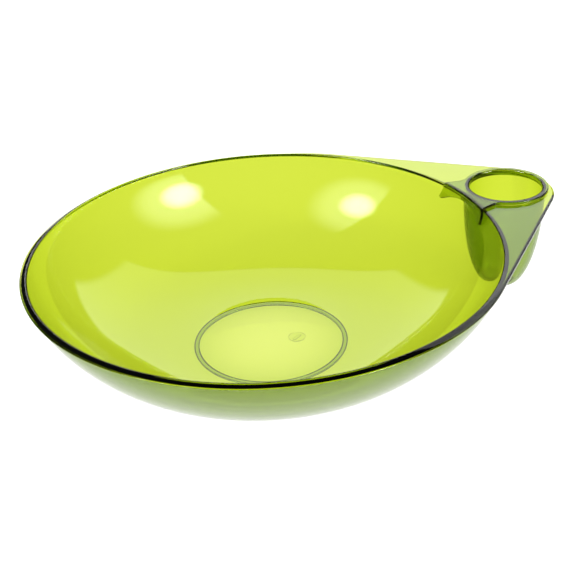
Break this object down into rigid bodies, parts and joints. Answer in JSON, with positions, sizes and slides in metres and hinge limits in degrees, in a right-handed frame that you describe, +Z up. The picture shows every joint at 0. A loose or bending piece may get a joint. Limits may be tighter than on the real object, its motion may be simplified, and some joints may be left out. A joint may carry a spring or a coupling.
{
  "type": "chip and dip server",
  "caption": "Wide shallow serving bowl whose rim runs out into a teardrop wing, with a deep round-bottomed dip cup that drops through the wing and hooks over the rim.",
  "frame": {"origin": "on the bowl's own axis, in the plane of the foot ring's underside, which is the table", "axes": "+X from the bowl's axis towards the dip cup, +Z up out of the bowl"},
  "size_m": [0.3913, 0.33, 0.0809],
  "materials": {
    "bowl_plastic": "clear lime green, high gloss",
    "cup_plastic": "clear lime green, high gloss"
  },
  "bodies": {
    "bowl": {"serving_bowl": "bowl_plastic"},
    "cup": {"dip_cup": "cup_plastic"}
  },
  "joints": [
    {"name": "cup_lift", "type": "slide", "parent": "bowl", "child": "cup", "axis": [0, 0, 1], "range_m": [0, 0.1]}
  ]
}
